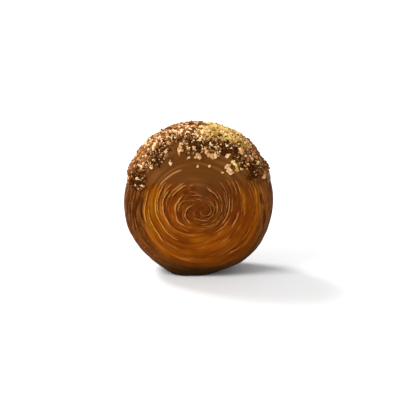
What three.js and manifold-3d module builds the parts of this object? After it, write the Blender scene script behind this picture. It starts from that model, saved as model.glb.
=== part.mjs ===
// A coiled pastry of the kind sold as a New York roll: a strip of laminated dough wound flat,
// baked in a ring, and stood on its rim. Its top is dipped in chocolate icing, and the icing is
// set with chopped hazelnuts.
// Millimetres, +Z up. The coil's axis lies along Y, and the front face looks towards -Y.
// The origin is the middle of the flat spot that the roll stands on.

import * as THREE from "three";
import { mergeVertices } from "three/addons/utils/BufferGeometryUtils.js";
import Module from "manifold-3d";

const wasm = await Module();
wasm.setup();

// Driving dimensions of the pastry
const ROLL_RADIUS = 52.5;
const ROLL_THICKNESS = 42;
const SHOULDER_RADIUS = 13.6; // rounding between a face and the rim
const REST_HALF_WIDTH = 14; // half of the flat spot, across the roll
const FACE_CROWN = 1.2; // how far a face swells at its middle
const RIM_CROWN = 0.5; // how far the rim swells between its shoulders

// The coil of dough, one leaf of which stands proud in each turn
const TURN_PITCH = 7.8; // one turn, measured along the surface
const GROOVE_DEPTH = 1.5; // between one turn and the next
const LEAF_FALL = 0.6; // from the proud leaf to the next groove
const EYE_DROP = 3.5; // the coil's eye lies this far below the axis
const OUT_OF_ROUND = 0.004; // share of the radius by which the outline's lobes wander

// The icing, and the bed of crumbs that is pressed into it round the rim
const DIP_HEIGHT = 16; // lower edge of the icing above the axis
const DIP_SLOPE = 0.08; // the edge rises this much to the right
const DIP_WAVE = 1.8; // how far the edge wanders
const ICING_GAP = 0.5; // clear space between the icing and the pastry
const ICING_THICKNESS = 1.5;
const CRUMB_BED = 0.9; // added thickness on the rim and the shoulders
const CRUMB_BED_SLOPE = 9; // width over which the bed rises from a face
const CRUMB_RIPPLE = 0.3; // height of the bed's ripples
const CRUMB_WAVE = 11; // length of a ripple, across the bed and along it

// The chopped nuts
const NUT_COUNT = 100;
const NUT_LARGEST = 3.1; // radius of the first nut placed
const NUT_SMALLEST = 1.4; // radius of the last
const NUT_PROPORTIONS = [1, 0.85, 0.75];
const NUT_UNEVENNESS = 0.22; // largest share by which a corner is pulled in
const NUT_FACE_REACH = 9; // how far the nuts spread from the shoulders on to a face
const NUT_EDGE_MARGIN = 4; // nuts keep this far inside the icing's edge
const NUT_FLOOR = 0.25; // icing left under a nut
const NUT_SEED = 41;

// How finely the surfaces are divided
const COIL_COLUMNS = 60; // steps in one turn
const LINES_PER_TURN = 3; // groove, proud leaf, falling leaf
const RIM_ROWS = 3;
const ICING_ROWS = 22; // from the front edge to the back edge
const ICING_COLUMNS = 36; // round the top of the roll

// Sizes that follow from the driving dimensions
const HALF_THICKNESS = ROLL_THICKNESS / 2;
const FLAT_RADIUS = ROLL_RADIUS - SHOULDER_RADIUS;
const FACE_RUN = FLAT_RADIUS + (Math.PI / 2) * SHOULDER_RADIUS; // a face's middle to the rim
const RIM_WIDTH = ROLL_THICKNESS - 2 * SHOULDER_RADIUS;
const SURFACE_RUN = 2 * FACE_RUN + RIM_WIDTH; // front middle over the rim to the back middle
const AXIS_HEIGHT = Math.sqrt(ROLL_RADIUS ** 2 - REST_HALF_WIDTH ** 2);
const LINE_STEP = TURN_PITCH / LINES_PER_TURN;

const lerp = THREE.MathUtils.lerp;
const clamp = THREE.MathUtils.clamp;
const smoothstep = THREE.MathUtils.smoothstep;

// The smooth roll's half section at a surface run from the front face's middle: radius, depth
// along Y, and the outward direction as its radial and Y shares.
function sectionAt(run) {
  const back = run > SURFACE_RUN / 2;
  const near = back ? SURFACE_RUN - run : run;
  const side = back ? 1 : -1;
  let radius = near;
  let depth = HALF_THICKNESS;
  let turn = 0; // how far the surface has turned from facing along Y to facing outwards
  if (near <= FLAT_RADIUS) {
    depth += FACE_CROWN * (1 - (near / FLAT_RADIUS) ** 2) ** 2;
  } else if (near <= FACE_RUN) {
    turn = (near - FLAT_RADIUS) / SHOULDER_RADIUS;
    radius = FLAT_RADIUS + SHOULDER_RADIUS * Math.sin(turn);
    depth = HALF_THICKNESS - SHOULDER_RADIUS * (1 - Math.cos(turn));
  } else {
    turn = Math.PI / 2;
    depth = SURFACE_RUN / 2 - near;
    radius = ROLL_RADIUS + RIM_CROWN * (1 - ((2 * depth) / RIM_WIDTH) ** 2);
  }
  return { radius, depth: side * depth, outward: Math.sin(turn), along: side * Math.cos(turn) };
}

// A point on the roll at a surface run and an angle round the axis, lifted off the smooth surface.
// Angles run anticlockwise from +X, as seen from the front.
function pointAt(run, angle, lift = 0) {
  const section = sectionAt(run);
  const lobes = Math.cos(3 * angle + 0.6) + Math.cos(5 * angle + 2);
  const wander = 1 + OUT_OF_ROUND * lobes;
  const radius = (section.radius + section.outward * lift) * wander;
  return new THREE.Vector3(
    radius * Math.cos(angle),
    section.depth + section.along * lift,
    AXIS_HEIGHT + radius * Math.sin(angle),
  );
}

// The two triangles of every cell of a grid of points. Where the row number rises along the run
// and the column number rises with the angle, the triangles face out.
function gridTriangles(pointOf, rows, columns) {
  const corners = [];
  for (let row = 0; row < rows; row++) {
    for (let column = 0; column < columns; column++) {
      const a = pointOf(row, column);
      const b = pointOf(row + 1, column);
      const c = pointOf(row + 1, column + 1);
      const d = pointOf(row, column + 1);
      corners.push(a, b, c, a, c, d);
    }
  }
  return corners;
}

// A manifold solid from a geometry, with shared vertices merged and collapsed triangles dropped.
function solidOf(geometry) {
  const bare = new THREE.BufferGeometry();
  bare.setAttribute("position", geometry.getAttribute("position").clone());
  if (geometry.index) bare.setIndex(geometry.index.clone());
  const merged = mergeVertices(bare, 1e-3);
  const index = merged.index.array;
  const triVerts = [];
  for (let i = 0; i < index.length; i += 3) {
    const [a, b, c] = [index[i], index[i + 1], index[i + 2]];
    if (a !== b && b !== c && c !== a) triVerts.push(a, b, c);
  }
  return new wasm.Manifold(
    new wasm.Mesh({
      numProp: 3,
      vertProperties: merged.getAttribute("position").array,
      triVerts: new Uint32Array(triVerts),
    }),
  );
}

function geometryOf(solid) {
  const mesh = solid.getMesh();
  const geometry = new THREE.BufferGeometry();
  geometry.setAttribute("position", new THREE.BufferAttribute(mesh.vertProperties, 3));
  geometry.setIndex(new THREE.BufferAttribute(mesh.triVerts, 1));
  geometry.computeVertexNormals();
  return geometry;
}

function solidOfCorners(corners) {
  return solidOf(new THREE.BufferGeometry().setFromPoints(corners));
}

// One face of the coil. Its lines wind with the dough: a line that has gone round once is the
// line LINES_PER_TURN further out, so grooves and leaves are single unbroken spirals.
const COIL_LINES = Math.ceil(FACE_RUN / LINE_STEP) + LINES_PER_TURN;
const LINE_LIFT = [-GROOVE_DEPTH, 0, -LEAF_FALL];

function coilPoint(line, column, toSurfaceRun) {
  const angle = (2 * Math.PI * column) / COIL_COLUMNS;
  const wound = line - LINES_PER_TURN + (LINES_PER_TURN * column) / COIL_COLUMNS;
  const run = clamp(wound * LINE_STEP, 0, FACE_RUN);
  const fadeAtEye = smoothstep(run, 0, TURN_PITCH / 2);
  const fadeAtRim = smoothstep(FACE_RUN - run, 0, TURN_PITCH / 2);
  const lift = LINE_LIFT[line % LINES_PER_TURN] * fadeAtEye * fadeAtRim;
  const point = pointAt(toSurfaceRun(run), angle, lift);
  point.z -= EYE_DROP * Math.max(0, 1 - run / FLAT_RADIUS) ** 2;
  return point;
}

function pastryRoll() {
  const front = gridTriangles(
    (line, column) => coilPoint(line, column, (run) => run),
    COIL_LINES,
    COIL_COLUMNS,
  );
  const rim = gridTriangles(
    (row, column) =>
      pointAt(FACE_RUN + (RIM_WIDTH * row) / RIM_ROWS, (2 * Math.PI * column) / COIL_COLUMNS),
    RIM_ROWS,
    COIL_COLUMNS,
  );
  const back = gridTriangles(
    (row, column) => coilPoint(COIL_LINES - row, column, (run) => SURFACE_RUN - run),
    COIL_LINES,
    COIL_COLUMNS,
  );
  const whole = solidOfCorners([...front, ...rim, ...back]);
  const under = new THREE.BoxGeometry(3 * ROLL_RADIUS, 3 * ROLL_RADIUS, ROLL_RADIUS);
  under.translate(0, 0, -ROLL_RADIUS / 2);
  return whole.subtract(solidOf(under));
}

// The icing reaches round the rim between the two angles at which its edge leaves the roll.
const DIP_TILT = Math.atan(DIP_SLOPE);
const DIP_ANGLE = Math.asin((DIP_HEIGHT / ROLL_RADIUS) * Math.cos(DIP_TILT));
const RIGHT_END = DIP_ANGLE + DIP_TILT;
const LEFT_END = Math.PI - DIP_ANGLE + DIP_TILT;

// How far the icing's lower edge is from the axis at an angle, on one face of the roll. The edge
// is a level line across the roll, a little tilted and wavy, as a dip leaves it.
function edgeRadius(angle, face) {
  const settle = Math.sin((Math.PI * (angle - RIGHT_END)) / (LEFT_END - RIGHT_END));
  const wave = DIP_WAVE * settle * Math.sin(5 * angle + 1.1 * face);
  return (DIP_HEIGHT + wave) / (Math.sin(angle) - DIP_SLOPE * Math.cos(angle));
}

// The surface run at which the smooth roll has a radius, on the front half.
function runAtRadius(radius) {
  if (radius <= FLAT_RADIUS) return radius;
  const sine = Math.min(1, (radius - FLAT_RADIUS) / SHOULDER_RADIUS);
  return FLAT_RADIUS + SHOULDER_RADIUS * Math.asin(sine);
}

function icingEdges(angle) {
  return {
    front: runAtRadius(edgeRadius(angle, 0)),
    back: SURFACE_RUN - runAtRadius(edgeRadius(angle, 1)),
  };
}

// Distance along the surface to the nearest edge of the icing, negative outside it.
function insideIcing(run, angle) {
  const edges = icingEdges(angle);
  const radius = sectionAt(run).radius;
  const toEnds = Math.min(angle - RIGHT_END, LEFT_END - angle) * radius;
  return Math.min(run - edges.front, edges.back - run, toEnds);
}

// Thickness of the icing away from its edges: a smooth coat on the faces, and a rippled bed of
// crumbs on the rim and the shoulders.
function icingThickness(run, angle) {
  const fromMiddle = Math.min(run, SURFACE_RUN - run);
  const bedStart = FLAT_RADIUS - CRUMB_BED_SLOPE / 2;
  const bed = smoothstep(fromMiddle, bedStart, bedStart + CRUMB_BED_SLOPE);
  const across = (2 * Math.PI * run) / CRUMB_WAVE;
  const along = (2 * Math.PI * ROLL_RADIUS * angle) / CRUMB_WAVE;
  const ripple = Math.sin(across + along / 3) * Math.sin(along - across / 3);
  return ICING_THICKNESS + bed * (CRUMB_BED + CRUMB_RIPPLE * ripple);
}

// A point on the icing's outer or inner skin. The two skins meet at the icing's edge. Columns crowd
// towards the two ends, where the edge curls quickly round the shoulders.
function icingPoint(row, column, outer) {
  const share = 0.5 - 0.5 * Math.cos((Math.PI * column) / ICING_COLUMNS);
  const angle = lerp(RIGHT_END, LEFT_END, share);
  const edges = icingEdges(angle);
  const run = lerp(edges.front, edges.back, row / ICING_ROWS);
  const onEdge = row % ICING_ROWS === 0 || column % ICING_COLUMNS === 0;
  const thickness = outer && !onEdge ? icingThickness(run, angle) : 0;
  return pointAt(run, angle, ICING_GAP + thickness);
}

// A seeded source of numbers from 0 to 1, so that the nuts fall the same way each time.
function seededRandom(seed) {
  let state = seed;
  return () => {
    state = (state + 0x6d2b79f5) | 0;
    let mixed = Math.imul(state ^ (state >>> 15), 1 | state);
    mixed = (mixed + Math.imul(mixed ^ (mixed >>> 7), 61 | mixed)) ^ mixed;
    return ((mixed ^ (mixed >>> 14)) >>> 0) / 2 ** 32;
  };
}

// One chopped nut: an icosahedron with uneven corners, a little flattened, turned at random.
function nutGeometry(radius, random) {
  const nut = mergeVertices(
    new THREE.IcosahedronGeometry(radius, 0).deleteAttribute("normal").deleteAttribute("uv"),
  );
  const corners = nut.getAttribute("position");
  for (let i = 0; i < corners.count; i++) {
    const pull = 1 - NUT_UNEVENNESS * random();
    corners.setXYZ(i, corners.getX(i) * pull, corners.getY(i) * pull, corners.getZ(i) * pull);
  }
  const turn = new THREE.Euler(random() * Math.PI, random() * Math.PI, random() * Math.PI);
  nut.scale(...NUT_PROPORTIONS);
  return nut.applyMatrix4(new THREE.Matrix4().makeRotationFromEuler(turn));
}

// The plastic number, the golden ratio's counterpart for spreading points evenly over an area.
const PLASTIC_NUMBER = 1.324717957;

// Nuts spread evenly over the icing, largest first. A nut is sunk to its middle, or less where it
// would reach through the icing, and one too near the edge is left out.
function choppedNuts() {
  const random = seededRandom(NUT_SEED);
  const firstRun = FLAT_RADIUS - NUT_FACE_REACH;
  const nuts = [];
  for (let i = 1; nuts.length < NUT_COUNT; i++) {
    const share = nuts.length / NUT_COUNT;
    const radius = lerp(NUT_LARGEST, NUT_SMALLEST, Math.sqrt(share));
    const angle = lerp(RIGHT_END, LEFT_END, (i / PLASTIC_NUMBER) % 1);
    const run = lerp(firstRun, SURFACE_RUN - firstRun, (i / PLASTIC_NUMBER ** 2) % 1);
    if (insideIcing(run, angle) < NUT_EDGE_MARGIN) continue;
    const thickness = icingThickness(run, angle);
    const rise = Math.max(0, radius + NUT_FLOOR - thickness);
    const centre = pointAt(run, angle, ICING_GAP + thickness + rise);
    nuts.push(nutGeometry(radius, random).translate(centre.x, centre.y, centre.z));
  }
  return nuts;
}

function chocolateIcing() {
  const skin = gridTriangles(
    (row, column) => icingPoint(row, column, true),
    ICING_ROWS,
    ICING_COLUMNS,
  );
  const lining = gridTriangles(
    (row, column) => icingPoint(ICING_ROWS - row, column, false),
    ICING_ROWS,
    ICING_COLUMNS,
  );
  let icing = solidOfCorners([...skin, ...lining]);
  for (const nut of choppedNuts()) icing = icing.add(solidOf(nut));
  return icing;
}

function piece(name, solid, colour, roughness) {
  const material = new THREE.MeshStandardMaterial({ color: colour, roughness, metalness: 0 });
  const mesh = new THREE.Mesh(geometryOf(solid), material);
  mesh.name = name;
  return mesh;
}

const roll = new THREE.Group();
roll.add(piece("pastry_roll", pastryRoll(), 0xa85f1c, 0.5));
roll.add(piece("chocolate_icing", chocolateIcing(), 0x74431a, 0.4));

export default roll;
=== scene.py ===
# %% [markdown]
# # A chocolate-dipped spiral croissant
#
# The real thing is a strip of laminated dough, wound into a flat coil and baked in a ring. It stands
# on its rim. Its top was dipped in milk chocolate, and chopped hazelnuts, chocolate crumbs and fine
# golden crumbs were pressed into the chocolate round the rim.
#
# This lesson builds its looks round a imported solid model, which gives the size and the place of the
# two solids. The pastry and the icing are functions of two parameters, worked out with numpy on
# grids, and the crumbs are whole arrays too. All lengths are in millimetres until a mesh is made.

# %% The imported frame
from types import SimpleNamespace

import bmesh
import bpy
import numpy as np
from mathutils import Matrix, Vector


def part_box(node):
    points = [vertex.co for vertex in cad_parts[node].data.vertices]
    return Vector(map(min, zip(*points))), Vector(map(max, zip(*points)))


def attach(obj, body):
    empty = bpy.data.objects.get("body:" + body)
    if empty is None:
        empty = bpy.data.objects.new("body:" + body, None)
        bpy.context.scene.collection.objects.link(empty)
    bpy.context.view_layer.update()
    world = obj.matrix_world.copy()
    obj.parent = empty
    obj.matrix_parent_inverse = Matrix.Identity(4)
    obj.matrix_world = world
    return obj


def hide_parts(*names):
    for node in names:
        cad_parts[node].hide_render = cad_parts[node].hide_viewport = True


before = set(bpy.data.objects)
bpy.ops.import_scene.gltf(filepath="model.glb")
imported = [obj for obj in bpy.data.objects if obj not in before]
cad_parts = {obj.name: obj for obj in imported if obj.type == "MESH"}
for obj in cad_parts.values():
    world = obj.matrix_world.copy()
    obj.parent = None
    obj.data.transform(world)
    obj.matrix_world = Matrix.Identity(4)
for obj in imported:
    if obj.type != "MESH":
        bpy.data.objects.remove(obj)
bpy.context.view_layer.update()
MM = 0.001

low, high = (np.array(corner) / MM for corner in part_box("pastry_roll"))
print(len(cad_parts), "solids in the frame; the pastry's, mm:", np.round(high - low, 1))

# %% [markdown]
# ## The smooth roll
#
# Under all its layers the roll is a thick disc: two faces, a rim, and round shoulders between them.
# A lathe would give that, but the layers, the icing and the crumbs all have to lie on it, so it is
# written as a surface instead. `run` is the distance along the surface from the middle of the front
# face, over the shoulder and the rim, to the middle of the back face. `angle` goes round the axis.

# %% Sizes of the smooth roll
SHOULDER = 13.6
FACE_CROWN = 1.2
RIM_CROWN = 0.5
EYE_AT = (1.8, 0.0)
LOOPS_AT = (-4.2, 4.0)
EYE_OVAL = 0.1
LOBE = 0.004

ROLL_RADIUS = (high[0] - low[0]) / 2 - RIM_CROWN
HALF_THICKNESS = (high[1] - low[1]) / 2 - FACE_CROWN
AXIS_HEIGHT = high[2] - ROLL_RADIUS - RIM_CROWN
FLAT_RADIUS = ROLL_RADIUS - SHOULDER
FACE_RUN = FLAT_RADIUS + np.pi / 2 * SHOULDER
RIM_WIDTH = 2 * (HALF_THICKNESS - SHOULDER)
SURFACE_RUN = 2 * FACE_RUN + RIM_WIDTH
print(f"radius {ROLL_RADIUS:.1f}, axis height {AXIS_HEIGHT:.1f}, surface run {SURFACE_RUN:.1f} mm")


# %% The smooth surface
def blend(value, start, end):
    """0 below start, 1 above end, and a smooth step (3t^2 - 2t^3) between them."""
    t = np.clip((value - start) / (end - start), 0, 1)
    return t * t * (3 - 2 * t)


def bell(value, middle, spread):
    """A bell curve: exp(-t^2), where t counts spreads from the middle."""
    return np.exp(-(((value - middle) / spread) ** 2))


def from_middle(run):
    """Run from the nearer face's middle, so the front and the back are measured alike."""
    return np.minimum(run, SURFACE_RUN - run)


def over_shoulder(run, start=4):
    """0 on the face, to `start` past its flat, and 1 on the rim, with a smooth step between them."""
    return blend(from_middle(run), FLAT_RADIUS + start, FACE_RUN)


def section(run):
    """Radius, depth along Y, and outward direction (radial share, Y share) of the half section: a
    flat with a slight crown, then a quarter circle, then a rim with a slight crown."""
    near = from_middle(run)
    side = np.where(run > SURFACE_RUN / 2, 1.0, -1.0)
    flat = np.minimum(near, FLAT_RADIUS)
    turn = np.clip((near - FLAT_RADIUS) / SHOULDER, 0, np.pi / 2)
    on_rim = np.clip(near - FACE_RUN, 0, None)
    crown = FACE_CROWN * (1 - (flat / FLAT_RADIUS) ** 2) ** 2
    depth = HALF_THICKNESS - SHOULDER * (1 - np.cos(turn)) - on_rim + crown
    bulge = RIM_CROWN * (1 - (1 - 2 * on_rim / RIM_WIDTH) ** 2)
    radius = flat + SHOULDER * np.sin(turn) + bulge
    return radius, side * depth, np.sin(turn), side * np.cos(turn)


def off_centre(run):
    """How far the loop at a run is off the axis, to the right and up. The eye is a little to the
    right, the loops half way out crowd to the upper left, and the outer ones are true to the rim."""
    out = np.clip(from_middle(run) / FLAT_RADIUS, 0, 1)
    eye = (1 - out**2) ** 2
    loops = blend(out, 0.25, 0.65) * blend(1 - out, 0, 0.35)
    right, up = (eye * a + loops * b for a, b in zip(EYE_AT, LOOPS_AT))
    return right, up


def stretch(run, angle):
    """How far a loop is out of round: three and five slight lobes, and an oval round the eye."""
    oval = EYE_OVAL * (1 - blend(from_middle(run), 8, 24))
    lobes = LOBE * (np.cos(3 * angle + 0.6) + np.cos(5 * angle + 2))
    return 1 + lobes + oval * np.cos(2 * angle)


def place(run, angle, lift=0.0):
    """The point at a run and an angle, lifted along the surface's outward direction. Each loop is
    round its own centre."""
    radius, depth, outward, along = section(run)
    right, up = off_centre(run)
    reach = (radius + outward * lift) * stretch(run, angle)
    x = right + reach * np.cos(angle)
    z = AXIS_HEIGHT + up + reach * np.sin(angle)
    return np.stack(np.broadcast_arrays(x, depth + along * lift, z), axis=-1)


print("middle of the rim's top, mm:", np.round(place(SURFACE_RUN / 2, np.pi / 2), 1))

# %% [markdown]
# The surface also has to be read the other way: things that are listed one by one are placed by how far
# right of the axis they are and how far above it, as they are seen from in front of their own face.

# %% Places read from the front
SETTLING_ROUNDS = 40


def above_axis(points):
    """Height of points above the roll's axis."""
    return points[..., 2] - AXIS_HEIGHT


def on_own_face(points):
    """How far right of the axis, and how far above it, points are to someone in front of their face."""
    right = np.where(points[..., 1] < 0, points[..., 0], -points[..., 0])
    return right, above_axis(points)


def degrees_from(middle, angle):
    """Degrees from a middle, given in degrees, to an angle in radians, the short way round."""
    return (np.degrees(angle) - middle + 180) % 360 - 180


def run_at(radius):
    """Run of the front's points at a radius: along the flat, then along the shoulder's arc."""
    on_shoulder = np.arcsin(np.clip((radius - FLAT_RADIUS) / SHOULDER, 0, 1)) * SHOULDER
    return np.minimum(radius, FLAT_RADIUS) + on_shoulder


def surface_at(right, up):
    """Run and angle of the front's point so far right of the axis and so far above it. A loop's
    centre depends on its run, so the two are found from each other in turn until they settle."""
    run = np.hypot(right, up)
    for _ in range(SETTLING_ROUNDS):
        centre_right, centre_up = off_centre(run)
        angle = np.arctan2(up - centre_up, right - centre_right)
        run = run_at(np.hypot(right - centre_right, up - centre_up) / stretch(run, angle))
    return run, angle


run, angle = surface_at(*EYE_AT)
print(f"the eye is at run {run:.2f} mm, angle {np.degrees(angle):.0f} degrees")


# %% [markdown]
# ## Unevenness
#
# Baked dough is nowhere exact. A smooth random field does for all of it: random numbers on a cubic
# lattice, blended between the lattice points. Blender has noise of its own, but this one works on
# whole arrays, gives the same result on each run, and has no seam on a closed surface.


# %% A smooth random field
LATTICE = 32


def cloud(points, size, seed):
    """Values from -1 to 1: random numbers at the points of a cubic lattice of the given size,
    blended by a smooth step along each of the three directions. The lattice repeats after 32 cells."""
    table = np.random.default_rng(seed).uniform(-1, 1, (LATTICE, LATTICE, LATTICE))
    cell = points / size
    base = np.floor(cell).astype(int)
    t = cell - base
    t = t * t * (3 - 2 * t)
    total = np.zeros(points.shape[:-1])
    for corner in np.ndindex(2, 2, 2):
        share = np.prod(np.where(np.array(corner) == 1, t, 1 - t), axis=-1)
        i, j, k = np.moveaxis((base + corner) % LATTICE, -1, 0)
        total += share * table[i, j, k]
    return total


sample = cloud(place(np.linspace(0, SURFACE_RUN, 500), 1.0), 5, 1)
print(f"a cloud along one line of the roll: {sample.min():.2f} to {sample.max():.2f}")

# %% [markdown]
# ## The coil
#
# One turn of the strip is about 8 mm, and each turn is a stack of leaves. Where a leaf ends, its crisp
# lip stands up a little, with a thin crack beside it. The lips come and go along the strip. They could
# be drawn by a shader's bump alone, but they catch the light and the cracks hold shadow, so they are
# real relief. The grid is wound with the coil, so lips run along the mesh's lines and stay sharp.

# %% Places along the coil
TURN_PITCH = 7.8


def wander(points):
    """How far the coil strays at a point, as a share of a turn. It strays most round the eye."""
    by_the_eye = 1 - blend(np.hypot(points[..., 0], above_axis(points)), 10, 24)
    stray = 0.11 * cloud(points, 17, 1) + 0.07 * cloud(points, 7, 2) + 0.03 * cloud(points, 3.5, 3)
    return stray + 0.14 * by_the_eye * cloud(points, 6, 19)


def strip_length(turns):
    """Length in millimetres of a coil of so many turns: pi times the pitch times the turns squared."""
    return np.pi * TURN_PITCH * np.maximum(turns, 0) ** 2


def coil_place(run, angle):
    """Line and turn of the coil at a place on the surface, and whether that is on the back. The line
    counts turns out from the eye along angle zero, and the turn is the share of a turn gone round."""
    turn = (angle / (2 * np.pi)) % 1
    line = from_middle(run) / TURN_PITCH - wander(place(run, angle)) - turn
    return line, turn, np.where(run > SURFACE_RUN / 2, 1.0, 0.0)


face_turns = FACE_RUN / TURN_PITCH
print(f"{face_turns:.1f} turns on a face, from a strip of {strip_length(face_turns):.0f} mm")

# %% The coil's leaves
LEAVES = 3
LIP_WIDTH = 0.36
CRACK_WIDTH = 0.36
CRACK_ASIDE = 0.75
LEAF_STEP = 60.0
BACK_STEP = 300.0


def ridge_and_groove(aside, strength, width=LIP_WIDTH):
    """A lip and the crack on its inner side: two bell curves of the distance across the strip."""
    return strength * bell(aside, 0, width), strength * bell(aside, -CRACK_ASIDE, CRACK_WIDTH)


def crowding(turns, turn):
    """How much more lips crowd than elsewhere: bell curves of the turn times steps of the turns. They
    crowd round the eye, to its right and on the left shoulder, and are few on the left and below."""
    by_the_eye = 1 - blend(turns, 2.2, 3.2)
    below = bell(turn, 0.78, 0.14) * blend(turns, 2.2, 3.2)
    left_side = bell(turn, 0.56, 0.17)
    on_shoulder = blend(turns, 4.7, 5.2)
    right_side = bell((turn + 0.48) % 1, 0.5, 0.1) * blend(turns, 1.2, 1.8)
    low_shoulder = bell(turn, 0.68, 0.1) * blend(turns, 4.8, 5.4)
    crowd = 0.25 * by_the_eye - 0.5 * below
    crowd = crowd + left_side * (0.75 * on_shoulder - 0.4 * blend(turns, 1.9, 2.4))
    crowd = crowd + right_side * (0.4 - 0.25 * blend(turns, 2.8, 3.4))
    return crowd - 0.7 * low_shoulder


def leaves(line, turn, back):
    """Strength, 0 to 1, of lips and of cracks. Each leaf of a turn has a centre that drifts, and a
    strength that comes and goes along the strip's length, and goes less where lips crowd. Each leaf,
    and the back, reads another part of the random field. The eye has no leaves."""
    strip = np.floor(line)
    turns = strip + turn
    length = strip_length(turns)
    crowd = crowding(turns, turn)
    lip = np.zeros(length.shape)
    crack = np.zeros(length.shape)
    for leaf in range(LEAVES):
        thread = np.stack(np.broadcast_arrays(length, LEAF_STEP * leaf, BACK_STEP * back), axis=-1)
        centre = (leaf + 0.5 + 0.55 * cloud(thread, 40, 11)) / LEAVES
        strength = 0.85 * blend(cloud(thread, 17, 12) + crowd, -0.1, 0.6) * blend(turns, 0.8, 1.5)
        ridge, groove = ridge_and_groove((line - strip - centre) * TURN_PITCH, strength)
        lip = np.maximum(lip, ridge)
        crack = np.maximum(crack, groove)
    return lip, crack


print(f"{LEAVES} leaves in a turn, about {TURN_PITCH / LEAVES:.1f} mm apart")

# %% [markdown]
# Some lips are so plain that the eye follows them round the roll. These are listed, each by the point
# at its middle, its half length and its strength, and the coil's own line carries it on.
# The innermost ones open like a pinwheel, faster than the coil, so each also has a slope across it.

# %% The plainest lips
BOLD_WIDTH = 0.48
BOLD_LIPS = [
    # right of the axis, above it, half length, strength, slope
    (-37.1, 2.0, 15, 1.15, 0.0),
    (-32.6, -9.8, 20, 1.1, 0.0),
    (-29.0, -4.5, 16, 1.0, 0.0),
    (-24.8, 1.0, 18, 1.05, 0.0),
    (-21.3, -17.5, 11, 0.8, 0.0),
    (-21.4, 23.0, 14, 1.3, 0.0),
    (-14.2, 14.2, 8, 1.0, 0.0),
    (-16.2, -1.0, 17, 0.95, 0.0),
    (-13.0, 3.2, 6, 0.6, 0.1),
    (-11.2, -4.5, 7, 0.5, 0.3),
    (-9.5, -2.6, 11, 0.75, 0.36),
    (-8.3, 6.4, 6, 0.65, 0.5),
    (-4.5, 10.5, 5, 0.5, 0.3),
    (-6.0, 3.0, 4, 0.5, 0.5),
    (-3.4, 12.7, 4, 0.5, 0.2),
    (0.1, 10.4, 3, 0.5, 0.2),
    (0.2, 7.2, 3, 0.6, 0.3),
    (2.2, -7.6, 6, 0.7, 0.0),
    (6.2, -4.4, 5, 0.5, 0.0),
    (7.8, -2.3, 9, 0.55, -0.1),
    (10.4, -1.5, 14, 0.62, -0.1),
    (12.9, 1.5, 8, 0.6, 0.0),
    (10.3, 12.0, 7, 0.9, 0.15),
    (13.2, 9.0, 6, 0.6, 0.1),
    (15.9, 5.5, 10, 0.9, 0.05),
    (18.2, 3.5, 9, 0.6, 0.0),
    (20.6, -1.0, 15, 0.9, 0.0),
    (23.1, 3.0, 7, 0.7, 0.0),
    (25.8, -7.6, 8, 0.7, 0.0),
    (31.6, 1.0, 8, 0.55, 0.0),
    (33.5, -18.0, 8, 0.5, 0.0),
    (39.6, 9.0, 7, 0.5, 0.0),
]


def bold_lips(line, turn):
    """Lips and cracks along the lines through the placed points. A line's number drops by one where
    the turn starts again, so the turns between are taken off."""
    lip = np.zeros(np.broadcast_shapes(line.shape, turn.shape))
    crack = np.zeros_like(lip)
    for right, up, half_length, most, slope in BOLD_LIPS:
        run, angle = surface_at(right, up)
        middle_line, middle_turn, _ = coil_place(run, angle)
        gone = turn - middle_turn
        along = (gone + 0.5) % 1 - 0.5
        length = along * 2 * np.pi * run
        aside = (line - middle_line + gone - along) * TURN_PITCH - slope * length
        strength = most * blend(half_length - np.abs(length), 0, 0.5 * half_length)
        ridge, groove = ridge_and_groove(aside, strength, BOLD_WIDTH * np.sqrt(most))
        lip = np.maximum(lip, ridge)
        crack = np.maximum(crack, groove)
    return lip, crack


print(len(BOLD_LIPS), "lips placed by hand")

# %% The coil's relief
LIP_HEIGHT = 0.3
CRACK_DEPTH = 0.5
SEAM_DEPTH = 0.5
SEAM_WIDTH = 0.7
LUMP_HEIGHT = 0.35
SWELLS = [
    # angle and spread in degrees, lift
    (254, 15, 1.6),
    (289, 10, -1.0),
    (342, 20, -1.1),
]


def slump(run, angle):
    """Lift where the roll isn't quite round: it has settled on its foot, a little to the left. Each
    swell or dent is a bell curve round the rim, and fades out over the shoulders."""
    lift = 0.0
    for middle, spread, most in SWELLS:
        lift = lift + most * bell(degrees_from(middle, angle), 0, spread)
    return lift * blend(from_middle(run), FLAT_RADIUS + 3, FLAT_RADIUS + 14)


def coil_relief(line, lip, crack, run, points):
    """Lift: lips up, cracks down, a shallow seam where one turn meets the next, and lumps on the
    shoulder. It fades out at the eye and where the rim begins."""
    near = from_middle(run)
    fade = blend(near, 0, 3) * blend(FACE_RUN - near, 0, 5)
    seam = bell((line - np.round(line)) * TURN_PITCH, 0, SEAM_WIDTH) * blend(near, 4, 9)
    lumps = LUMP_HEIGHT * cloud(points, 4.5, 17) * blend(near, FLAT_RADIUS - 2, FLAT_RADIUS + 4)
    return fade * (LIP_HEIGHT * lip - CRACK_DEPTH * crack - SEAM_DEPTH * seam + lumps)


print("swells and dents of the outline, mm:", [most for _, _, most in SWELLS])

# %% [markdown]
# ## From arrays to meshes
#
# Every piece goes through one helper. It takes points in millimetres, faces as rows of vertex numbers,
# and the values that the finishes will read. Coils and poles give points that coincide, so a piece can
# ask to be welded, which closes its seams. A second helper numbers the corners of a grid's cells.

# %% The mesh helpers
WELD_DISTANCE = 0.002
pieces = {}


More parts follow.
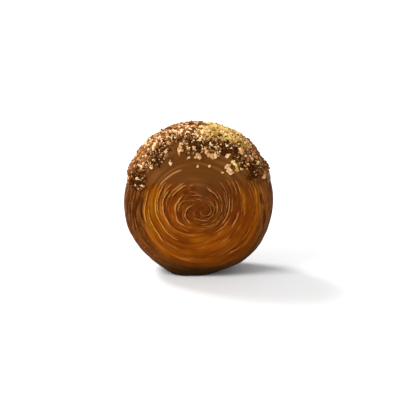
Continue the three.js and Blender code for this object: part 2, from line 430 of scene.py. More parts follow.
def make_piece(name, points, faces, values=None, smooth=True, weld=False):
    """A named object at the origin, with its place in its mesh."""
    mesh = bpy.data.meshes.new(name)
    mesh.from_pydata(points.reshape(-1, 3) * MM, [], faces)
    for label, numbers in (values or {}).items():
        attribute = mesh.attributes.new(label, "FLOAT", "POINT")
        attribute.data.foreach_set("value", numbers.astype(np.float32).ravel())
    mesh.polygons.foreach_set("use_smooth", np.full(len(mesh.polygons), smooth))
    if weld:
        shape = bmesh.new()
        shape.from_mesh(mesh)
        bmesh.ops.remove_doubles(shape, verts=shape.verts, dist=WELD_DISTANCE * MM)
        shape.to_mesh(mesh)
        shape.free()
    mesh.update()
    piece = bpy.data.objects.new(name, mesh)
    bpy.context.scene.collection.objects.link(piece)
    pieces[name] = piece
    triangles = sum(len(polygon.vertices) - 2 for polygon in mesh.polygons)
    print(f"{name}: {len(mesh.vertices)} points, {triangles} triangles")
    return piece


def grid_faces(rows, columns, number):
    """The four corners of each cell of a grid, where number(i, j) numbers the point at row i and
    column j."""
    i, j = np.meshgrid(np.arange(rows), np.arange(columns), indexing="ij")
    corners = [(i, j), (i + 1, j), (i + 1, j + 1), (i, j + 1)]
    return np.stack([number(*corner) for corner in corners], axis=-1).reshape(-1, 4)


print("corners of a cell of four points:", grid_faces(1, 1, lambda i, j: 2 * i + j)[0])

# %% [markdown]
# ## The pastry
#
# The front and the back are the same coil, because the strip goes straight through. A line of the grid
# that has gone round once meets the line one turn further out, so the last column of cells joins the
# first column of points, a turn on. The rim is an ordinary ring between the two faces.

# %% The pastry's three grids
LINES_PER_TURN = 22
COLUMNS = 230
RIM_ROWS = 26
RIDGE_PITCH = 2.9
RIDGE_DEPTH = 0.2
LINES = int(np.ceil(FACE_RUN / TURN_PITCH * LINES_PER_TURN)) + LINES_PER_TURN
TURN = np.arange(COLUMNS) / COLUMNS
AROUND = 2 * np.pi * TURN


def coil_face(back):
    """One face: lines wound with the coil, their runs shifted by the coil's wander and held between
    the eye and the rim. Returns points, runs, lips, cracks and faces."""
    line = np.arange(LINES + 1)[:, None] / LINES_PER_TURN - 1

    def surface_run(turns):
        run = np.clip(turns * TURN_PITCH, 0, FACE_RUN)
        return SURFACE_RUN - run if back else run

    turns = line + TURN
    stray = wander(place(surface_run(turns), AROUND)) * blend(turns, 0, 1)
    run = surface_run(turns + stray)
    lip, crack = np.maximum(leaves(line, TURN, float(back)), bold_lips(line, TURN))
    relief = coil_relief(line, lip, crack, run, place(run, AROUND))
    points = place(run, AROUND, relief + slump(run, AROUND))

    def number(i, j):
        turn_on = np.minimum(i + LINES_PER_TURN, LINES) * COLUMNS
        return np.where(j < COLUMNS, i * COLUMNS + j, turn_on)

    faces = grid_faces(LINES, COLUMNS, number)
    return points, run, lip, crack, faces[:, ::-1] if back else faces


def rim_ring():
    """The rim: rows across it and columns round it, with fine ridges that follow its length."""
    run = np.linspace(FACE_RUN, SURFACE_RUN - FACE_RUN, RIM_ROWS + 1)[:, None] + 0 * AROUND
    smooth = place(run, AROUND)
    across = (run - FACE_RUN) / RIM_WIDTH
    ridges = 0.5 + 0.5 * np.sin(2 * np.pi * run / RIDGE_PITCH + 3 * cloud(smooth, 22, 4))
    ridges = ridges * blend(across, 0, 0.12) * blend(1 - across, 0, 0.12)
    points = place(run, AROUND, slump(run, AROUND) - RIDGE_DEPTH * ridges)
    faces = grid_faces(RIM_ROWS, COLUMNS, lambda i, j: i * COLUMNS + j % COLUMNS)
    return points, run, np.zeros(run.shape), 0.5 * ridges, faces


print(f"{LINES} lines and {COLUMNS} columns on a face, {RIM_ROWS} rows across the rim")

# %% [markdown]
# The crust isn't one colour. A few long streaks between the lips stayed yellow, where less egg wash
# ran. They are listed for the front, by radius and angle, and turned about on the back.

# %% Streaks that stayed golden
GOLDEN_STREAKS = [
    # radius, angle in degrees, half width, half length in degrees
    (31.5, 174, 3.6, 26),
    (36.0, 196, 2.2, 20),
    (22.0, -90, 1.8, 18),
    (32.0, 20, 2.0, 14),
    (40.5, 16, 2.2, 16),
    (14.0, -40, 1.6, 40),
]


def golden_streaks(points):
    """The greatest of a set of bell curves in radius and angle."""
    right, up = on_own_face(points)
    radius = np.hypot(right, up)
    angle = np.arctan2(up, right)
    gold = np.zeros(len(points))
    for middle, turned, width, length in GOLDEN_STREAKS:
        streak = bell(radius, middle, width) * bell(degrees_from(turned, angle), 0, length)
        gold = np.maximum(gold, streak)
    return gold


print(len(GOLDEN_STREAKS), "golden streaks on each face")

# %% The pastry
grids = [coil_face(back=False), rim_ring(), coil_face(back=True)]
points, run, lip, crack = (
    np.concatenate([grid[k].reshape(-1, *grid[k].shape[2:]) for grid in grids]) for k in range(4)
)
points[:, 2] = np.maximum(points[:, 2], 0)
starts = np.cumsum([0] + [grid[1].size for grid in grids])
faces = np.concatenate([grid[4] + start for grid, start in zip(grids, starts)])
values = {"run": run, "lip": lip, "crack": crack, "gold": golden_streaks(points)}
pastry = make_piece("pastry", points, faces, values, weld=True)

# %% [markdown]
# ## The icing
#
# A dip leaves a level line. Near it the chocolate is so thin that it only fills the grooves, and the
# leaves stick out of it; higher up it covers everything. Painting the pastry brown would lose that, so
# the icing is a blanket whose level rises with the height above the dip line. Where the blanket is
# lower than the leaves, the pastry comes through by itself. Over the eye, a film has sagged down.

# %% The dip line
DIP_HEIGHT = 15.5
DIP_SLOPE = 0.015
SAG = 11.0
SAG_AT = 3.5
SAG_WIDTH = 5.0


def above_dip(points):
    """Height above the dip line, which rises to the right, wanders a little and sags over the eye."""
    x = points[..., 0]
    line = DIP_HEIGHT + DIP_SLOPE * x - SAG * bell(x, SAG_AT, SAG_WIDTH)
    line = line + 1.4 * cloud(points, 15, 5) + 1.2 * cloud(points, 5, 6)
    return above_axis(points) - line


print(f"the dip line is {DIP_HEIGHT} mm above the axis, and {DIP_HEIGHT - SAG} mm over the eye")

# %% [markdown]
# Crumbs were pressed into the rim and the shoulders. Their bed ends lower on the left than on the
# right, two patches of it stayed bare, golden crumbs went on at the top right, and below those the
# bed was pressed flat. Each of these is a mask, which the icing, its finish and the crumbs share.

# %% Where crumbs are pressed in
BED_START = 3.4
BED_HEIGHT = 18.6
BED_SLOPE = 0.09
BED_CLIMB = 5.0
BARE_PATCHES = [
    # right of the axis, above it, half width, half height
    (-13.5, 41.5, 9, 6),
    (19.5, 36.5, 7, 5),
]
GOLDEN_AT = 16
GOLDEN_REACH = 20
PRESSED_AT = 29
PRESSED_SPREAD = 6.5


def crumb_bed(points, run):
    """1 where crumbs are pressed in, on the rim and the shoulders down to a line that rises to the
    right and, on the left, towards the rim. It is 0 elsewhere."""
    x = points[..., 0]
    inner = FLAT_RADIUS + BED_START + 3 * cloud(points, 11, 7) - blend(x, 8, 24)
    line = BED_HEIGHT + BED_SLOPE * x + 2 * cloud(points, 6, 15)
    line = line + BED_CLIMB * (1 - blend(x, -10, 30)) * over_shoulder(run)
    across = blend(from_middle(run), inner - 2.5, inner + 2.5)
    return across * blend(above_axis(points) - line, -1, 1.5)


def bare_patch(points):
    """Share of crumbs missing: oval patches of a face, which end in a smooth step."""
    right, up = on_own_face(points)
    ovals = [np.hypot((right - x) / wide, (up - z) / tall) for x, z, wide, tall in BARE_PATCHES]
    return 0.9 * blend(np.minimum(*ovals), 1.15, 0.6)


def golden_patch(points, run):
    """1 where the rim was strewn with golden crumbs, at the top right."""
    width = GOLDEN_REACH - np.abs(points[..., 0] - GOLDEN_AT) + 5 * cloud(points, 9, 10)
    reach = from_middle(run) + 2 * cloud(points, 5, 16)
    return blend(width, 0, 9) * blend(reach, FLAT_RADIUS + 9, FLAT_RADIUS + 15)


def pressed(points, run):
    """How flat the crumbs are pressed: most on the rim at the right, below the golden ones."""
    low_down = bell(above_axis(points), PRESSED_AT, PRESSED_SPREAD)
    return over_shoulder(run, 3) * blend(points[..., 0], 20, 40) * low_down


print(f"crumbs end {BED_HEIGHT} mm above the axis, and {len(BARE_PATCHES)} patches are bare")

# %% The icing's blanket
FINGER_LENGTH = 25
FILM_SUNK = 0.8
SKIRT_SUNK = 1.5
COAT = 0.8
COIL_SHOWN = 0.6
BED_EDGE = 0.4
PRESSED_DEPTH = 0.7


def fingers(line, turn, back, width=1.5):
    """A random field drawn out along the coil, about 25 mm long and `width` wide."""
    length = strip_length(np.floor(line) + turn)
    across = line * TURN_PITCH * FINGER_LENGTH / width
    return cloud(np.stack([length, across, BACK_STEP * back], axis=-1), FINGER_LENGTH, 13)


def icing_lips(run, angle):
    """Lips and cracks that still show on the icing: the plain ones everywhere, the others only near
    the dip line."""
    height = above_dip(place(run, angle))
    line, turn, back = coil_place(run, angle)
    fine = leaves(line, turn, back) * (1 - 0.85 * blend(height, 0, 8))
    return np.maximum(bold_lips(line, turn), fine)


def icing_lift(run, angle):
    """Lift of the icing's outer side. A film fills the cracks first and runs up the coil in fingers,
    and a coat follows higher up; both are smooth steps of the height above the dip line. The coil
    shows through, and the bed of crumbs is bumpy, with a raised edge."""
    smooth = place(run, angle)
    height = above_dip(smooth)
    coil = coil_place(run, angle)
    ridges = COIL_SHOWN * coil_relief(coil[0], *icing_lips(run, angle), run, smooth)
    film = -FILM_SUNK + blend(height + 5 * fingers(*coil), -7, 6)
    film = film - SKIRT_SUNK * (1 - blend(height, -8, -5))
    on_rim = over_shoulder(run, 3)
    aside = on_rim * (1 - blend(above_axis(smooth), 26, 46))
    coat = (COAT + 0.15 * cloud(smooth, 12, 9)) * blend(height, 3, 14) * (1 - 0.8 * aside)
    low_end = blend(height, -3, 4) * (1 - 0.8 * blend(height, 8, 18))
    low_end = low_end * (0.2 + 0.9 * blend(smooth[..., 0], -20, 20))
    coat = coat + on_rim * low_end
    bed = crumb_bed(smooth, run)
    lumps = 0.3 - 0.3 * aside + 0.45 * cloud(smooth, 4, 18) + 0.35 * cloud(smooth, 2.2, 8)
    bumps = bed * lumps + BED_EDGE * (4 * bed * (1 - bed)) ** 2
    bumps = bumps - PRESSED_DEPTH * pressed(smooth, run)
    return film + coat + ridges + bumps * blend(height, 0, 5)


rim_top = icing_lift(np.array([SURFACE_RUN / 2]), np.array([np.pi / 2]))
print(f"icing on the rim's top: {rim_top[0]:.2f} mm")

# %% [markdown]
# The blanket's grid reaches below the dip line, by a skirt that stays hidden in the pastry. Its columns
# stand closer at both ends, where the line leaves the roll's outline. An inner sheet, sunk into the
# pastry, and welded borders make it a closed shell.

# %% The icing's shell
ICING_ROWS = 200
ICING_COLUMNS = 220
ICING_SKIRT = 14.0
INNER_LIFT = -3.2
BORDER_LIFT = -2.2


def icing_ends(height):
    """The angles, right and left, at which a tilted level line leaves the roll's outline."""
    tilt = np.arctan(DIP_SLOPE)
    rise = np.arcsin(height / ROLL_RADIUS * np.cos(tilt))
    return rise + tilt, np.pi - rise + tilt


def edge_run(angle, height):
    """Run at which a tilted level line crosses the front, from the radius it has at an angle."""
    return run_at(height / (np.sin(angle) - DIP_SLOPE * np.cos(angle)))


RIGHT_END, LEFT_END = icing_ends(DIP_HEIGHT - ICING_SKIRT)
share = 0.5 - 0.5 * np.cos(np.pi * np.arange(ICING_COLUMNS + 1) / ICING_COLUMNS)
angle = RIGHT_END + (LEFT_END - RIGHT_END) * share
edge = edge_run(angle, DIP_HEIGHT - ICING_SKIRT)
run = edge + (SURFACE_RUN - 2 * edge) * np.linspace(0, 1, ICING_ROWS + 1)[:, None]
angle = np.broadcast_to(angle, run.shape)

outer = icing_lift(run, angle)
inner = np.full_like(outer, INNER_LIFT)
for border in (np.s_[0, :], np.s_[-1, :], np.s_[:, 0], np.s_[:, -1]):
    inner[border] = outer[border] = BORDER_LIFT

smooth = place(run, angle)
lip, crack = icing_lips(run, angle)
bed = crumb_bed(smooth, run) * (1 - bare_patch(smooth))
marks = {"bed": bed, "height": above_dip(smooth), "lip": lip, "crack": crack}
marks["gold"] = golden_patch(smooth, run) * bed
# Bands along the coil, which the icing's finish uses for painted sheen and shade.
marks["sheen_band"] = fingers(*coil_place(run, angle), width=3.0)

sheet = grid_faces(ICING_ROWS, ICING_COLUMNS, lambda i, j: i * (ICING_COLUMNS + 1) + j)
icing = make_piece(
    "chocolate_coat",
    np.concatenate([place(run, angle, lift).reshape(-1, 3) for lift in (outer, inner)]),
    np.concatenate([sheet, sheet[:, ::-1] + run.size]),
    values={label: np.tile(numbers.ravel(), 2) for label, numbers in marks.items()},
    weld=True,
)

# %% [markdown]
# ## Crumbs and nuts
#
# Thousands of crumbs could be instances of a few shapes, but an exported model keeps only real mesh,
# so each kind is one mesh made from arrays. A crumb starts as an icosahedron. Each of its corners is
# pulled in to a few random planes, as if it had been chopped, and the crumb is then stretched, turned
# and sunk part of the way into the icing.

# %% The plain crumb
ball = bmesh.new()
bmesh.ops.create_icosphere(ball, subdivisions=1, radius=1)
CORNERS = np.array([vertex.co for vertex in ball.verts])
CORNER_FACES = np.array([[vertex.index for vertex in face.verts] for face in ball.faces])
ball.free()
print(f"a crumb has {len(CORNERS)} corners and {len(CORNER_FACES)} faces")

# %% Chopped shapes
CUTS = 7
PRESSED_SHARE = 0.45


def random_turns(count, rng):
    """Rotation matrices from random unit quaternions."""
    w, x, y, z = rng.normal(size=(4, count))
    length = np.sqrt(w * w + x * x + y * y + z * z)
    w, x, y, z = w / length, x / length, y / length, z / length
    rows = [
        [1 - 2 * (y * y + z * z), 2 * (x * y - z * w), 2 * (x * z + y * w)],
        [2 * (x * y + z * w), 1 - 2 * (x * x + z * z), 2 * (y * z - x * w)],
        [2 * (x * z - y * w), 2 * (y * z + x * w), 1 - 2 * (x * x + y * y)],
    ]
    return np.moveaxis(np.array(rows), -1, 0)


def chopped(name, run, angle, size, seed, sink, fade=0.0):
    """One mesh of chopped crumbs at the given places. A corner's distance is the least of the
    distances to random planes along its direction, so flat cuts show. Their tone is random and drifts
    from place to place; it falls to the right, a painted shade, and rises from the face to the rim by a
    given share, a painted rim light."""
    rng = np.random.default_rng(seed)
    count = len(run)
    planes = rng.normal(size=(count, CUTS, 3))
    planes /= np.linalg.norm(planes, axis=-1, keepdims=True)
    depth = rng.uniform(0.4, 1.0, (count, 1, CUTS))
    towards = np.einsum("vk,cpk->cvp", CORNERS, planes)
    reach = np.where(towards > 0.05, depth / np.maximum(towards, 0.05), 9).min(axis=-1)
    reach = np.minimum(reach, 1.3) * rng.uniform(0.85, 1.1, (count, len(CORNERS)))
    body = CORNERS * reach[..., None] * rng.uniform(0.55, 1.65, (count, 1, 3))
    size = size * (1 - PRESSED_SHARE * pressed(place(run, angle), run))
    body = np.einsum("cij,cvj->cvi", random_turns(count, rng), body) * size[:, None, None]
    centre = place(run, angle, icing_lift(run, angle) + size * (0.6 - sink))
    # The tone drifts at random, and falls to the right: a painted shade.
    drift = 0.5 + 0.45 * cloud(centre, 6, seed) - 0.12 * blend(centre[:, 0], 5, 45)
    # The tone rises towards the rim by `fade`: a painted rim light.
    drift = drift + fade * (over_shoulder(run) - 0.5)
    tone = np.clip(drift + rng.uniform(-0.4, 0.4, count), 0, 1).repeat(len(CORNERS))
    return make_piece(
        name,
        centre[:, None, :] + body,
        (CORNER_FACES + len(CORNERS) * np.arange(count)[:, None, None]).reshape(-1, 3),
        values={"tone": tone},
        smooth=False,
    )


print(f"{CUTS} cuts to a crumb; one that is pressed flat is {PRESSED_SHARE:.0%} smaller")

# %% Where crumbs fall
DRAWS_PER_CRUMB = 60
HOLLOW_AT = (9.6, 41.2)
HOLLOW_SPREAD = (4.4, 2.6)


def scatter(count, seed, weight):
    """Runs and angles of seeded draws, even over the icing's area, each kept with the chance that
    weight gives for its place."""
    rng = np.random.default_rng(seed)
    run = rng.uniform(edge_run(np.pi / 2, DIP_HEIGHT), SURFACE_RUN / 2, DRAWS_PER_CRUMB * count)
    run = np.where(rng.uniform(size=run.size) < 0.5, run, SURFACE_RUN - run)
    angle = rng.uniform(RIGHT_END, LEFT_END, run.size)
    points = place(run, angle)
    chance = weight(points, run) * section(run)[0] / ROLL_RADIUS
    kept = np.flatnonzero(rng.uniform(size=run.size) < chance)[:count]
    return run[kept], angle[kept]


def strewn(points, run):
    """Chance of a crumb: dense in the bed, with barer patches, and none in the hollow of a shell."""
    clumps = blend(cloud(points, 6, 14) + 0.4 * blend(points[:, 0], 8, 24), -0.45, 0.15)
    clumps = np.maximum(clumps, blend(from_middle(run), FLAT_RADIUS + 11, FLAT_RADIUS + 19))
    right, up = map(bell, on_own_face(points), HOLLOW_AT, HOLLOW_SPREAD)
    bare = np.maximum(bare_patch(points), right * up)
    return crumb_bed(points, run) * (0.3 + 0.7 * clumps) * (1 - bare)


def nutty(points, run):
    """Share of nut among the crumbs: most on the rim and on the left, and less low down."""
    high_up = 0.4 + 0.6 * blend(above_axis(points), 22, 36)
    to_the_left = 0.55 + 0.45 * blend(-points[:, 0], -40, 15)
    return (0.4 + 0.6 * over_shoulder(run)) * to_the_left * high_up


def chocolate_chance(points, run):
    """Chance of a chocolate crumb: less among nuts, and hardly any among golden crumbs."""
    not_golden = 1 - 0.93 * golden_patch(points, run)
    return strewn(points, run) * (1 - 0.4 * nutty(points, run)) * not_golden


def hazelnut_chance(points, run):
    """Chance of a hazelnut crumb: the share of nut, and few among golden crumbs."""
    return strewn(points, run) * nutty(points, run) * (1 - 0.8 * golden_patch(points, run))


def golden_chance(points, run):
    """Chance of a golden crumb: its patch of the bed, and a few strays."""
    return crumb_bed(points, run) * (0.02 + golden_patch(points, run))


rim_top = place(np.array([SURFACE_RUN / 2]), np.pi / 2)
print(f"share of nut on the rim's top: {nutty(rim_top, SURFACE_RUN / 2)[0]:.2f}")

# %% [markdown]
# Three kinds of crumb were strewn. A few bits at the upper right are so plain, pale ones on the
# shoulder and golden ones on the face, that they are listed and added to the scattered ones of their
# kind.

# %% Three kinds of crumb
PALE_BITS = [
    # right of the axis, above it, size
    (34.0, 39.6, 2.0),
    (36.0, 37.0, 1.8),
    (38.0, 34.4, 2.3),
    (35.2, 33.8, 1.5),
    (34.0, 35.8, 1.5),
    (39.6, 31.0, 1.5),
    (26.4, 43.1, 1.3),
]
GOLDEN_BITS = [
    # right of the axis, above it, size
    (23.8, 34.2, 1.15),
    (24.4, 32.6, 1.15),
    (25.2, 31.2, 1.15),
    (25.8, 29.8, 1.15),
    (25.6, 28.4, 1.15),
    (26.6, 28.0, 1.15),
]


def strew(name, count, chance, least, spread, seed, sink, fade=0.0, bits=()):
    """Crumbs of one kind, scattered by chance, and the bits that are listed. The scattered radii
    are many small and few large: a uniform draw, squared and spread above the least."""
    run, angle = scatter(count, seed, chance)
    size = least + spread * np.random.default_rng(seed + 1).uniform(0, 1, len(run)) ** 2
    right, up, bit_size = np.reshape(bits, (-1, 3)).T
    bit_run, bit_angle = surface_at(right, up)
    run = np.concatenate([run, bit_run])
    angle = np.concatenate([angle, bit_angle])
    return chopped(name, run, angle, np.concatenate([size, bit_size]), seed + 2, sink, fade)


# The tone of chocolate and hazelnut crumbs rises towards the rim, a painted rim light.
strew("chocolate_crumbs", 4600, chocolate_chance, 0.45, 1.0, seed=20, sink=0.1, fade=0.6)
strew("hazelnut_crumbs", 3500, hazelnut_chance, 0.38, 0.9, seed=30, sink=0.15, fade=0.1, bits=PALE_BITS)
strew("golden_crumbs", 2600, golden_chance, 0.4, 0.55, seed=40, sink=-0.1, bits=GOLDEN_BITS)

# %% [markdown]
# A few larger pieces of hazelnut lie on the smooth icing of the face. They are the first thing that the
# eye finds, so the front ones are listed: how far right of the axis, how far above it, and how
# large. Eight of them are one broken shell, in an arc round a dark hollow. The back has as many, turned
# about. Each is a clump of chopped bits.

# %% The large pieces of hazelnut
BITS_PER_NUT = 5
CLUMP_SPREAD = 0.34
FACE_NUTS = [
    # right of the axis, above it, size
    (-12.8, 43.6, 2.0),
    (-12.0, 41.6, 1.6),
    (-5.8, 43.4, 1.4),
    (-3.2, 43.8, 1.7),
    (-7.1, 37.6, 1.2),
    (-2.0, 37.4, 1.2),
    (-0.2, 37.8, 2.0),
    (-19.2, 33.3, 1.9),
    (-0.5, 31.2, 1.1),
    (7.5, 31.2, 1.2),
    (19.4, 38.0, 1.7),
    (20.6, 32.0, 1.5),
    (19.6, 29.8, 2.1),
    (21.3, 28.4, 2.2),
    (20.0, 27.2, 1.7),
    (22.3, 26.1, 1.7),
    (29.1, 29.0, 1.4),
    (16.0, 26.5, 0.8),
    (28.2, 39.7, 2.4),
    (43.4, 22.3, 2.2),
    (-38.5, 16.6, 1.7),
    (-42.0, 17.0, 1.6),
    (-40.5, 20.4, 1.1),
    (5.2, 42.2, 1.7),
    (5.7, 40.5, 1.8),
    (6.9, 38.9, 1.9),
    (8.3, 37.7, 2.0),
    (9.9, 37.4, 1.8),
    (11.5, 38.0, 1.5),
    (13.1, 39.2, 1.6),
    (14.5, 40.8, 1.4),
]

right, up, sizes = np.transpose(FACE_NUTS)
run, angle = surface_at(right, up)
run = np.concatenate([run, SURFACE_RUN - run])
angle = np.concatenate([angle, np.pi - angle])

rng = np.random.default_rng(50)
clump = np.repeat(np.arange(len(run)), BITS_PER_NUT)
reach = np.tile(sizes, 2)[clump]
run = run[clump] + CLUMP_SPREAD * reach * rng.normal(size=clump.size)
angle = angle[clump] + CLUMP_SPREAD * reach * rng.normal(size=clump.size) / from_middle(run)
chopped("hazelnut_pieces", run, angle, reach * rng.uniform(0.35, 0.8, clump.size), 51, sink=0.2)

# %% [markdown]
# ## Writing finishes
#
# A finish is a small tree of shader nodes. Wiring nodes by hand hides the thought, so a socket is
# wrapped in a class with Python's own operators: a sum of two sockets adds the Math node. Every other
# kind of node comes from one method, `node`.


# %% Colours as a screen shows them
def screen(red, green, blue):
    """A colour from 0 to 255, turned to linear light for a shader: a straight line for the darkest
    colours, and a power of 2.4 above them."""
    share = np.array([red, green, blue]) / 255
    linear = np.where(share <= 0.04045, share / 12.92, ((share + 0.055) / 1.055) ** 2.4)
    return (*linear.tolist(), 1.0)


print("middle grey in linear light:", np.round(screen(128, 128, 128)[:3], 3))


# %% Sockets that can be added and multiplied
class Socket:
    """An output of a node. Arithmetic on it adds Math nodes to the same finish."""

    def __init__(self, finish, output):
        self.finish = finish
        self.output = output

    def math(self, operation, first, second):
        return self.finish.node("ShaderNodeMath", {"operation": operation}, {0: first, 1: second})

    def __add__(self, other):
        return self.math("ADD", self, other)

    def __sub__(self, other):
        return self.math("SUBTRACT", self, other)

    def __rsub__(self, other):
        return self.math("SUBTRACT", other, self)

    def __mul__(self, other):
        return self.math("MULTIPLY", self, other)

    def __rtruediv__(self, other):
        return self.math("DIVIDE", other, self)

    def __abs__(self):
        return self.math("ABSOLUTE", self, 0.0)

    def at_least(self, other):
        return self.math("MAXIMUM", self, other)

    __radd__ = __add__
    __rmul__ = __mul__


# %% A finish, step by step
class Finish:
    """A material on a Principled shader, built up by short named steps."""

    def __init__(self, name):
        self.material = bpy.data.materials.new(name)
        self.material.use_nodes = True
        self.tree = self.material.node_tree
        self.shader = self.tree.nodes["Principled BSDF"]

    def node(self, kind, settings=None, inputs=None, output=0):
        made = self.tree.nodes.new(kind)
        for label, value in (settings or {}).items():
            setattr(made, label, value)
        for label, value in (inputs or {}).items():
            self.feed(made.inputs[label], value)
        return Socket(self, made.outputs[output])

    def feed(self, socket, value):
        if isinstance(value, Socket):
            self.tree.links.new(value.output, socket)
        else:
            socket.default_value = value

    def where(self):
        """The place on the piece, in millimetres."""
        place_m = self.node("ShaderNodeTexCoord", output="Object")
        return self.node(
            "ShaderNodeVectorMath", {"operation": "SCALE"}, {0: place_m, "Scale": 1 / MM}
        )

    def value(self, label):
        """A number that the mesh carries at each point."""
        return self.node("ShaderNodeAttribute", {"attribute_name": label}, output="Fac")

    def parts(self, vector):
        """The three numbers of a vector."""
        split = self.node("ShaderNodeSeparateXYZ", inputs={0: vector}).output.node
        return [Socket(self, output) for output in split.outputs]

    def flat_length(self, across, up):
        """How long an offset across and up the face is."""
        offset = self.node("ShaderNodeCombineXYZ", inputs={0: across, 1: 0.0, 2: up})
        return self.node("ShaderNodeVectorMath", {"operation": "LENGTH"}, {0: offset}, output=1)

    def noise(self, vector, size, detail=2.0):
        """A soft random pattern from 0 to 1, with blotches about `size` across."""
        return self.node(
            "ShaderNodeTexNoise", inputs={"Vector": vector, "Scale": 1 / size, "Detail": detail}
        )

    def step(self, value, start, end):
        """0 at start and 1 at end, with a smooth step between."""
        return self.node(
            "ShaderNodeMapRange",
            {"interpolation_type": "SMOOTHSTEP"},
            {"Value": value, "From Min": start, "From Max": end},
        )

    def mix(self, share, first, second):
        """The first colour where share is 0, the second where it is 1."""
        return self.node(
            "ShaderNodeMix", {"data_type": "RGBA"}, {0: share, 6: first, 7: second}, output=2
        )

    def bump(self, height, depth, strength=1.0):
        """A normal tilted by a height pattern, whose full range is `depth` millimetres."""
        return self.node(
            "ShaderNodeBump", inputs={"Height": height, "Distance": depth * MM, "Strength": strength}
        )

    def dress(self, piece, inputs):
        """Feeds the shader's inputs, by name, and puts the finish on a piece."""
        for label, value in inputs.items():
            self.feed(self.shader.inputs[label], value)
        piece.data.materials.append(self.material)
        print(f"{self.material.name}: {len(self.tree.nodes)} nodes")


# %% [markdown]
# ## The crust
#
# Egg-washed dough bakes to a glassy amber. The lips of the leaves are thin and crisp, so they dry pale
# gold, and their colour also carries a painted highlight; the cracks are darkened with painted shade.
# The eye and the shoulders brown more than the ring between them, and the rim has a smooth brown skin.
# Chocolate has stained the upper right. Painted shade makes the face redder to the right and darkens
# the rim's right edge, the lower right and the foot. All of it is streaked along the coil. A picture
# wrapped round the roll would stretch, so the streaks are noise on coordinates that go round the axis
# slowly and along the run quickly.

# %% The crust's patterns
MEAN_RADIUS = 26.0
PUPIL = 5.0
BROWNED_AT = (6.5, 6.5)


def crust_patterns(finish):
    """The noises and the masks that the crust's colours share, by name. A mask is a smooth step of a
    place, roughened by a noise."""
    p = SimpleNamespace()
    where = finish.where()
    p.x, _, p.z = finish.parts(where)
    p.up = p.z - AXIS_HEIGHT
    run = finish.value("run")
    radius = finish.flat_length(p.x, p.up)
    shrink = MEAN_RADIUS / radius.at_least(PUPIL)
    around_x = p.x * shrink
    around_z = p.up * shrink

    def streaks(length, width):
        """Noise drawn out along the coil, to a length and a width in millimetres."""
        inputs = {0: around_x, 1: run * (length / width), 2: around_z}
        return finish.noise(finish.node("ShaderNodeCombineXYZ", inputs=inputs), length, 3.0)

    p.broad = finish.noise(where, 14.0, 3.0)
    p.patches = finish.noise(where, 3.6, 2.0)
    p.fine = finish.noise(where, 1.1, 4.0)
    p.specks = finish.noise(where, 1.5, 2.0)
    p.wide_streaks = streaks(22.0, 4.5)
    p.thin_streaks = streaks(14.0, 1.3)
    p.blotches = streaks(6.0, 2.4)

    p.near = SURFACE_RUN / 2 - abs(run - SURFACE_RUN / 2)
    p.on_rim = finish.step(p.near + p.broad * 6.0, FACE_RUN - 3, FACE_RUN + 7)
    p.low_side = 1 - finish.step(p.up, -36.0, -4.0)
    p.low_right = p.low_side * finish.step(p.x, 0.0, 26.0)
    edge = radius + p.broad * 5.0 - p.x * 0.045 - p.low_side * 3.0 - p.low_right * 2.0
    p.shoulder = finish.step(edge, FLAT_RADIUS + 2, FLAT_RADIUS + 5)
    browned = finish.flat_length(p.x - BROWNED_AT[0], p.up - BROWNED_AT[1])
    p.eye = 1 - finish.step(browned + p.broad * 8.0, 14.0, 34.0)
    p.gold = finish.value("gold")
    p.stained = finish.step(p.up + p.wide_streaks * 34.0, 18.0, 33.0) * finish.step(p.x, -8.0, 16.0)
    p.stained = p.stained * (1 - p.gold * 0.7)
    broken = finish.step(finish.noise(where, 3.0, 2.0), 0.3, 0.6)
    p.lip = finish.step(finish.value("lip"), 0.15, 0.85) * (0.35 + broken * 0.65)
    p.crack = finish.value("crack")
    return p


print(f"streaks have their true length at a radius of {MEAN_RADIUS} mm")

# %% The crust's colours
AMBER = screen(138, 68, 1)
RED_BROWN = screen(104, 44, 0)
GOLD = screen(148, 85, 0)
# Painted shade in the cracks, and a deeper painted shadow in gaps in them.
CRACK_SHADE = screen(82, 34, 0)
DEEP_SHADOW = screen(54, 20, 0)
# Pale gold of dried lips, streaks and flecks; on the lips it also holds a painted highlight.
LIP = screen(204, 134, 60)
GOLDEN_LIP = screen(212, 156, 52)
EYE_LIP = screen(202, 134, 72)
EYE = screen(86, 39, 2)
EYE_DARK = screen(62, 26, 0)
EYE_RED = screen(112, 52, 20)
SHOULDER_PALE = screen(124, 70, 18)
SHOULDER_DARK = screen(70, 30, 0)
SHOULDER_LOW = screen(106, 57, 15)
STAIN = screen(90, 45, 8)
SKIN = screen(112, 64, 13)
SKIN_DARK = screen(82, 41, 3)
# Painted shade, for the rim's right edge, the lower right and the foot.
PAINTED_SHADE = screen(46, 24, 2)


def dough_colour(finish, p):
    """Amber and red-brown streaks, redder to the right as a painted shade, the darker eye, the stained
    part and the shoulders.
    """
    # Less amber and redder to the right: a painted shade.
    amber = p.wide_streaks + p.low_side * 0.07 - finish.step(p.x, 8.0, 34.0) * 0.07
    colour = finish.mix(finish.step(amber, 0.36, 0.64), RED_BROWN, AMBER)
    colour = finish.mix(p.gold * 0.8, colour, GOLD)
    eye = finish.mix(finish.step(p.blotches, 0.45, 0.6), EYE, EYE_DARK)
    eye = finish.mix(finish.step(p.broad, 0.45, 0.6) * 0.6, eye, EYE_RED)
    colour = finish.mix(p.eye * 0.8, colour, eye)
    colour = finish.mix(p.stained * 0.8, colour, STAIN)
    mottled = finish.step(p.blotches + p.x * 0.0022, 0.4, 0.62)
    shoulder = finish.mix(mottled, SHOULDER_DARK, SHOULDER_PALE)
    shoulder = finish.mix(p.low_side * 0.5, shoulder, SHOULDER_LOW)
    return finish.mix(p.shoulder, colour, shoulder)


